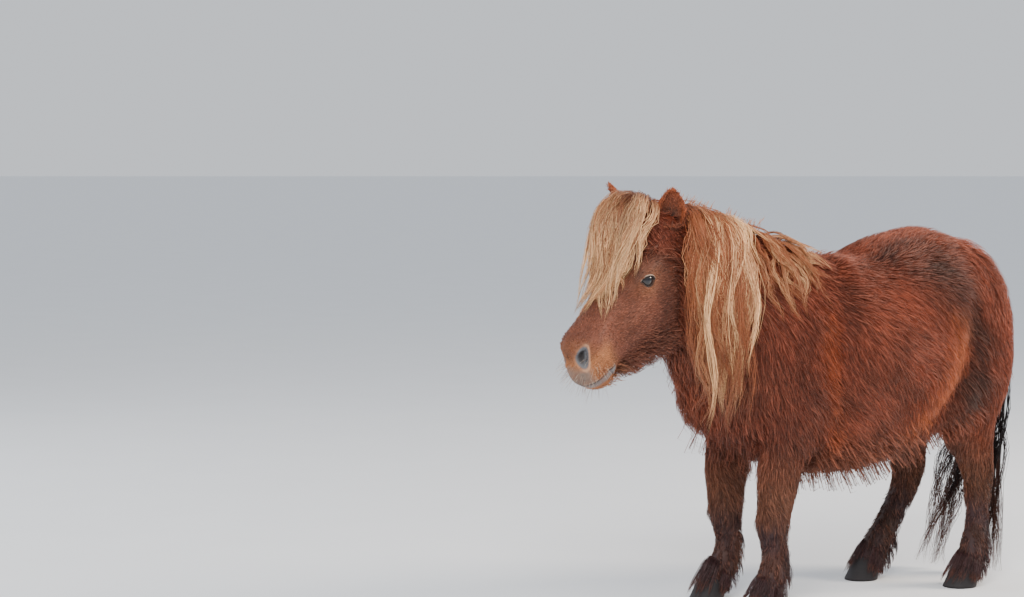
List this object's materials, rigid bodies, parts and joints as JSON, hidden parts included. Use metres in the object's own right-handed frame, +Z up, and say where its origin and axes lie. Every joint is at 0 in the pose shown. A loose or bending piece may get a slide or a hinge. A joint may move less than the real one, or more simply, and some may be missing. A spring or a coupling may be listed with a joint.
{
  "type": "shetland pony",
  "caption": "Life-size still model of a chestnut Shetland pony with a flaxen mane, in winter coat, standing square with its head turned a little to its left.",
  "frame": {"origin": "on the floor plane of the soles, below the middle of the whole pony's box", "axes": "+Z up, the pony faces -Y, its left side is +X"},
  "size_m": [0.5412, 1.5513, 1.1062],
  "materials": {
    "body_coat": "shaggy red-chestnut winter coat of the barrel, matt with a soft sheen",
    "neck_coat": "red-chestnut winter coat of the neck",
    "face_coat": "short brown coat of the face, orange round muzzle and eye",
    "upper_leg_coat": "brown coat of forearm, thigh and gaskin",
    "lower_leg_coat": "dark brown, damp hair of cannon, fetlock and feather",
    "ear_coat": "short orange-brown coat of the ears",
    "hoof_horn": "dark grey-blue horn, dull",
    "mane_hair": "long flaxen hair with red-brown roots",
    "forelock_hair": "long flaxen-cream hair with brown roots",
    "tail_hair": "long dark brown hair, reddish at the tips",
    "eye_gloss": "wet dark brown eye, glossy"
  },
  "bodies": {
    "root": {"torso": "body_coat", "neck": "neck_coat", "head": "face_coat", "ear_left": "ear_coat", "ear_right": "ear_coat", "eye_left": "eye_gloss", "eye_right": "eye_gloss", "mane": "mane_hair", "forelock": "forelock_hair", "tail": "tail_hair", "leg_left_fore_upper": "upper_leg_coat", "leg_left_fore_lower": "lower_leg_coat", "hoof_left_fore": "hoof_horn", "leg_right_fore_upper": "upper_leg_coat", "leg_right_fore_lower": "lower_leg_coat", "hoof_right_fore": "hoof_horn", "leg_left_hind_upper": "upper_leg_coat", "leg_left_hind_lower": "lower_leg_coat", "hoof_left_hind": "hoof_horn", "leg_right_hind_upper": "upper_leg_coat", "leg_right_hind_lower": "lower_leg_coat", "hoof_right_hind": "hoof_horn"}
  },
  "joints": []
}
